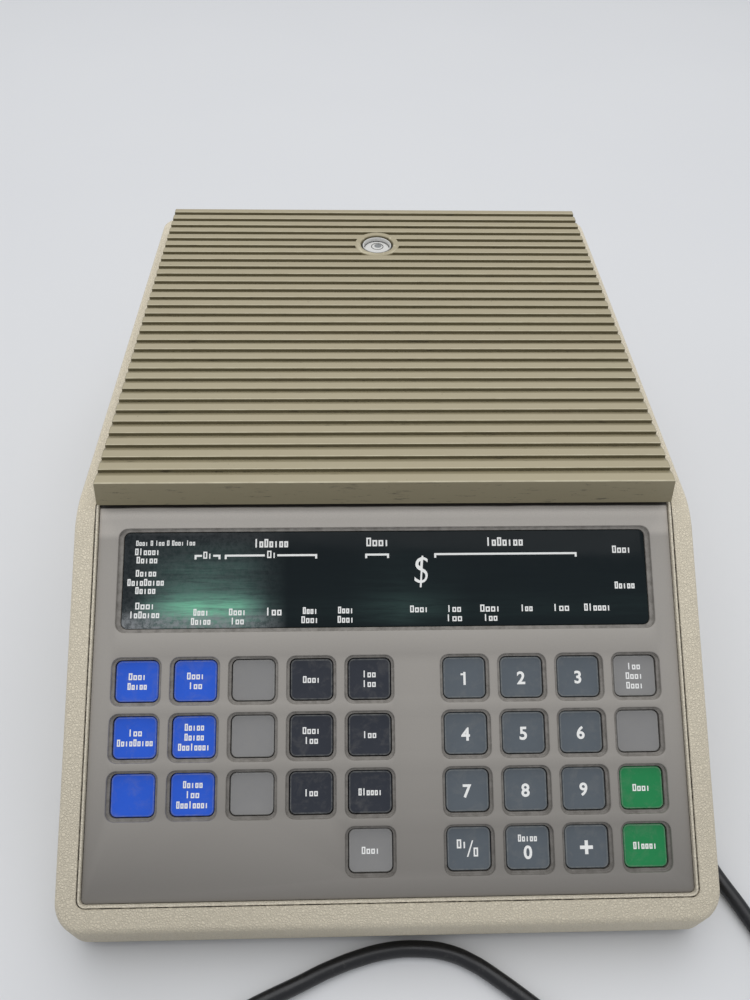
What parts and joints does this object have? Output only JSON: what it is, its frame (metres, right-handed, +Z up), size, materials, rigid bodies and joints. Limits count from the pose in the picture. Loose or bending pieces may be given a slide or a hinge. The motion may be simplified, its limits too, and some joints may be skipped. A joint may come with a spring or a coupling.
{
  "type": "electronic postal scale",
  "caption": "Desktop electronic postal scale: ribbed weigh platform over a wedge case with a sloping key console, display window and power cord.",
  "frame": {"origin": "centre of the case's footprint, on the surface the feet stand on", "axes": "+Z up, -Y out of the front of the sloping console, +X to the right of someone facing the console"},
  "size_m": [0.3266, 0.62, 0.136],
  "materials": {
    "case_pan": "moulded, fine texture",
    "case_beige": "leather-grain moulded texture",
    "zinc_steel": "zinc plated",
    "rear_plate": "satin paint",
    "panel_grey": "fine matt moulding",
    "window_filter": "polished tinted acrylic",
    "tube_glass": "clear glass, dark inside",
    "guide_plastic": "as moulded",
    "spring_steel": "drawn wire",
    "board_green": "solder mask",
    "frame_steel": "satin paint",
    "cell_aluminium": "machined",
    "level_white": "polished",
    "transformer_iron": "varnished laminations",
    "connector_shell": "tin plated",
    "switch_black": "as moulded",
    "rocker_red": "polished",
    "cord_black": "satin jacket",
    "plug_black": "satin moulding",
    "platform_khaki": "satin moulding",
    "foot_rubber": "matt rubber",
    "key_blue": "satin moulding",
    "key_navy": "satin moulding",
    "key_grey": "satin moulding",
    "key_slate": "satin moulding",
    "key_green": "satin moulding"
  },
  "bodies": {
    "chassis": {"base_pan": "case_pan", "upper_housing": "case_beige", "case_screws": "zinc_steel", "rear_plate": "rear_plate", "keyboard_bezel": "panel_grey", "display_window": "window_filter", "display_tube": "tube_glass", "key_guide_plate": "guide_plastic", "key_springs": "spring_steel", "keyboard_board": "board_green", "base_frame": "frame_steel", "load_cell": "cell_aluminium", "bubble_level": "level_white", "logic_board": "board_green", "transformer": "transformer_iron", "interface_connector": "connector_shell", "power_switch_body": "switch_black", "cord_gland": "cord_black", "power_cord": "cord_black", "cord_coil": "cord_black", "power_plug": "plug_black"},
    "spider": {"platform_spider": "cell_aluminium"},
    "platform": {"weigh_platform": "platform_khaki"},
    "rocker": {"power_rocker": "rocker_red"},
    "foot_front_left": {"foot_front_left": "foot_rubber"},
    "foot_front_right": {"foot_front_right": "foot_rubber"},
    "foot_rear_left": {"foot_rear_left": "foot_rubber"},
    "foot_rear_right": {"foot_rear_right": "foot_rubber"},
    "key_first_class": {"key_first_class": "key_blue"},
    "key_third_class": {"key_third_class": "key_blue"},
    "key_express": {"key_express": "key_blue"},
    "key_intl_letter": {"key_intl_letter": "key_blue"},
    "key_blank_blue": {"key_blank_blue": "key_blue"},
    "key_intl_print": {"key_intl_print": "key_blue"},
    "key_blank_grey_1": {"key_blank_grey_1": "key_grey"},
    "key_blank_grey_2": {"key_blank_grey_2": "key_grey"},
    "key_blank_grey_3": {"key_blank_grey_3": "key_grey"},
    "key_certified": {"key_certified": "key_navy"},
    "key_return_receipt": {"key_return_receipt": "key_navy"},
    "key_special_delivery": {"key_special_delivery": "key_navy"},
    "key_insured": {"key_insured": "key_navy"},
    "key_registered": {"key_registered": "key_navy"},
    "key_cod": {"key_cod": "key_navy"},
    "key_zero": {"key_zero": "key_grey"},
    "key_digit_1": {"key_digit_1": "key_slate"},
    "key_digit_2": {"key_digit_2": "key_slate"},
    "key_digit_3": {"key_digit_3": "key_slate"},
    "key_digit_4": {"key_digit_4": "key_slate"},
    "key_digit_5": {"key_digit_5": "key_slate"},
    "key_digit_6": {"key_digit_6": "key_slate"},
    "key_digit_7": {"key_digit_7": "key_slate"},
    "key_digit_8": {"key_digit_8": "key_slate"},
    "key_digit_9": {"key_digit_9": "key_slate"},
    "key_clear": {"key_clear": "key_slate"},
    "key_digit_0": {"key_digit_0": "key_slate"},
    "key_plus": {"key_plus": "key_slate"},
    "key_zip_zone": {"key_zip_zone": "key_grey"},
    "key_blank_right": {"key_blank_right": "key_grey"},
    "key_tape": {"key_tape": "key_green"},
    "key_letter": {"key_letter": "key_green"}
  },
  "joints": [
    {"name": "press_first_class", "type": "slide", "parent": "chassis", "child": "key_first_class", "axis": [0, -0.5255, 0.8508], "range_m": [-0.0025, 0], "stiffness_N_per_m": 250, "springref_m": 0.002},
    {"name": "press_third_class", "type": "slide", "parent": "chassis", "child": "key_third_class", "axis": [0, -0.5255, 0.8508], "range_m": [-0.0025, 0], "stiffness_N_per_m": 250, "springref_m": 0.002},
    {"name": "press_express", "type": "slide", "parent": "chassis", "child": "key_express", "axis": [0, -0.5255, 0.8508], "range_m": [-0.0025, 0], "stiffness_N_per_m": 250, "springref_m": 0.002},
    {"name": "press_intl_letter", "type": "slide", "parent": "chassis", "child": "key_intl_letter", "axis": [0, -0.5255, 0.8508], "range_m": [-0.0025, 0], "stiffness_N_per_m": 250, "springref_m": 0.002},
    {"name": "press_blank_blue", "type": "slide", "parent": "chassis", "child": "key_blank_blue", "axis": [0, -0.5255, 0.8508], "range_m": [-0.0025, 0], "stiffness_N_per_m": 250, "springref_m": 0.002},
    {"name": "press_intl_print", "type": "slide", "parent": "chassis", "child": "key_intl_print", "axis": [0, -0.5255, 0.8508], "range_m": [-0.0025, 0], "stiffness_N_per_m": 250, "springref_m": 0.002},
    {"name": "press_blank_grey_1", "type": "slide", "parent": "chassis", "child": "key_blank_grey_1", "axis": [0, -0.5255, 0.8508], "range_m": [-0.0025, 0], "stiffness_N_per_m": 250, "springref_m": 0.002},
    {"name": "press_blank_grey_2", "type": "slide", "parent": "chassis", "child": "key_blank_grey_2", "axis": [0, -0.5255, 0.8508], "range_m": [-0.0025, 0], "stiffness_N_per_m": 250, "springref_m": 0.002},
    {"name": "press_blank_grey_3", "type": "slide", "parent": "chassis", "child": "key_blank_grey_3", "axis": [0, -0.5255, 0.8508], "range_m": [-0.0025, 0], "stiffness_N_per_m": 250, "springref_m": 0.002},
    {"name": "press_certified", "type": "slide", "parent": "chassis", "child": "key_certified", "axis": [0, -0.5255, 0.8508], "range_m": [-0.0025, 0], "stiffness_N_per_m": 250, "springref_m": 0.002},
    {"name": "press_return_receipt", "type": "slide", "parent": "chassis", "child": "key_return_receipt", "axis": [0, -0.5255, 0.8508], "range_m": [-0.0025, 0], "stiffness_N_per_m": 250, "springref_m": 0.002},
    {"name": "press_special_delivery", "type": "slide", "parent": "chassis", "child": "key_special_delivery", "axis": [0, -0.5255, 0.8508], "range_m": [-0.0025, 0], "stiffness_N_per_m": 250, "springref_m": 0.002},
    {"name": "press_insured", "type": "slide", "parent": "chassis", "child": "key_insured", "axis": [0, -0.5255, 0.8508], "range_m": [-0.0025, 0], "stiffness_N_per_m": 250, "springref_m": 0.002},
    {"name": "press_registered", "type": "slide", "parent": "chassis", "child": "key_registered", "axis": [0, -0.5255, 0.8508], "range_m": [-0.0025, 0], "stiffness_N_per_m": 250, "springref_m": 0.002},
    {"name": "press_cod", "type": "slide", "parent": "chassis", "child": "key_cod", "axis": [0, -0.5255, 0.8508], "range_m": [-0.0025, 0], "stiffness_N_per_m": 250, "springref_m": 0.002},
    {"name": "press_zero", "type": "slide", "parent": "chassis", "child": "key_zero", "axis": [0, -0.5255, 0.8508], "range_m": [-0.0025, 0], "stiffness_N_per_m": 250, "springref_m": 0.002},
    {"name": "press_digit_1", "type": "slide", "parent": "chassis", "child": "key_digit_1", "axis": [0, -0.5255, 0.8508], "range_m": [-0.0025, 0], "stiffness_N_per_m": 250, "springref_m": 0.002},
    {"name": "press_digit_2", "type": "slide", "parent": "chassis", "child": "key_digit_2", "axis": [0, -0.5255, 0.8508], "range_m": [-0.0025, 0], "stiffness_N_per_m": 250, "springref_m": 0.002},
    {"name": "press_digit_3", "type": "slide", "parent": "chassis", "child": "key_digit_3", "axis": [0, -0.5255, 0.8508], "range_m": [-0.0025, 0], "stiffness_N_per_m": 250, "springref_m": 0.002},
    {"name": "press_digit_4", "type": "slide", "parent": "chassis", "child": "key_digit_4", "axis": [0, -0.5255, 0.8508], "range_m": [-0.0025, 0], "stiffness_N_per_m": 250, "springref_m": 0.002},
    {"name": "press_digit_5", "type": "slide", "parent": "chassis", "child": "key_digit_5", "axis": [0, -0.5255, 0.8508], "range_m": [-0.0025, 0], "stiffness_N_per_m": 250, "springref_m": 0.002},
    {"name": "press_digit_6", "type": "slide", "parent": "chassis", "child": "key_digit_6", "axis": [0, -0.5255, 0.8508], "range_m": [-0.0025, 0], "stiffness_N_per_m": 250, "springref_m": 0.002},
    {"name": "press_digit_7", "type": "slide", "parent": "chassis", "child": "key_digit_7", "axis": [0, -0.5255, 0.8508], "range_m": [-0.0025, 0], "stiffness_N_per_m": 250, "springref_m": 0.002},
    {"name": "press_digit_8", "type": "slide", "parent": "chassis", "child": "key_digit_8", "axis": [0, -0.5255, 0.8508], "range_m": [-0.0025, 0], "stiffness_N_per_m": 250, "springref_m": 0.002},
    {"name": "press_digit_9", "type": "slide", "parent": "chassis", "child": "key_digit_9", "axis": [0, -0.5255, 0.8508], "range_m": [-0.0025, 0], "stiffness_N_per_m": 250, "springref_m": 0.002},
    {"name": "press_clear", "type": "slide", "parent": "chassis", "child": "key_clear", "axis": [0, -0.5255, 0.8508], "range_m": [-0.0025, 0], "stiffness_N_per_m": 250, "springref_m": 0.002},
    {"name": "press_digit_0", "type": "slide", "parent": "chassis", "child": "key_digit_0", "axis": [0, -0.5255, 0.8508], "range_m": [-0.0025, 0], "stiffness_N_per_m": 250, "springref_m": 0.002},
    {"name": "press_plus", "type": "slide", "parent": "chassis", "child": "key_plus", "axis": [0, -0.5255, 0.8508], "range_m": [-0.0025, 0], "stiffness_N_per_m": 250, "springref_m": 0.002},
    {"name": "press_zip_zone", "type": "slide", "parent": "chassis", "child": "key_zip_zone", "axis": [0, -0.5255, 0.8508], "range_m": [-0.0025, 0], "stiffness_N_per_m": 250, "springref_m": 0.002},
    {"name": "press_blank_right", "type": "slide", "parent": "chassis", "child": "key_blank_right", "axis": [0, -0.5255, 0.8508], "range_m": [-0.0025, 0], "stiffness_N_per_m": 250, "springref_m": 0.002},
    {"name": "press_tape", "type": "slide", "parent": "chassis", "child": "key_tape", "axis": [0, -0.5255, 0.8508], "range_m": [-0.0025, 0], "stiffness_N_per_m": 250, "springref_m": 0.002},
    {"name": "press_letter", "type": "slide", "parent": "chassis", "child": "key_letter", "axis": [0, -0.5255, 0.8508], "range_m": [-0.0025, 0], "stiffness_N_per_m": 250, "springref_m": 0.002},
    {"name": "weigh", "type": "slide", "parent": "chassis", "child": "spider", "axis": [0, 0, 1], "range_m": [-0.0004, 0], "stiffness_N_per_m": 50000, "springref_m": 0.00012},
    {"name": "platform_lift_off", "type": "slide", "parent": "spider", "child": "platform", "axis": [0, 0, 1], "range_m": [0, 0.06]},
    {"name": "foot_front_left_screw", "type": "slide", "parent": "chassis", "child": "foot_front_left", "axis": [0, 0, -1], "range_m": [0, 0.004]},
    {"name": "foot_front_right_screw", "type": "slide", "parent": "chassis", "child": "foot_front_right", "axis": [0, 0, -1], "range_m": [0, 0.004]},
    {"name": "foot_rear_left_screw", "type": "slide", "parent": "chassis", "child": "foot_rear_left", "axis": [0, 0, -1], "range_m": [0, 0.004]},
    {"name": "foot_rear_right_screw", "type": "slide", "parent": "chassis", "child": "foot_rear_right", "axis": [0, 0, -1], "range_m": [0, 0.004]},
    {"name": "power_rocker_tilt", "type": "hinge", "parent": "chassis", "child": "rocker", "pos_m": [-0.084, 0.2005, 0.034], "axis": [1, 0, 0], "range_deg": [0, 16]}
  ]
}
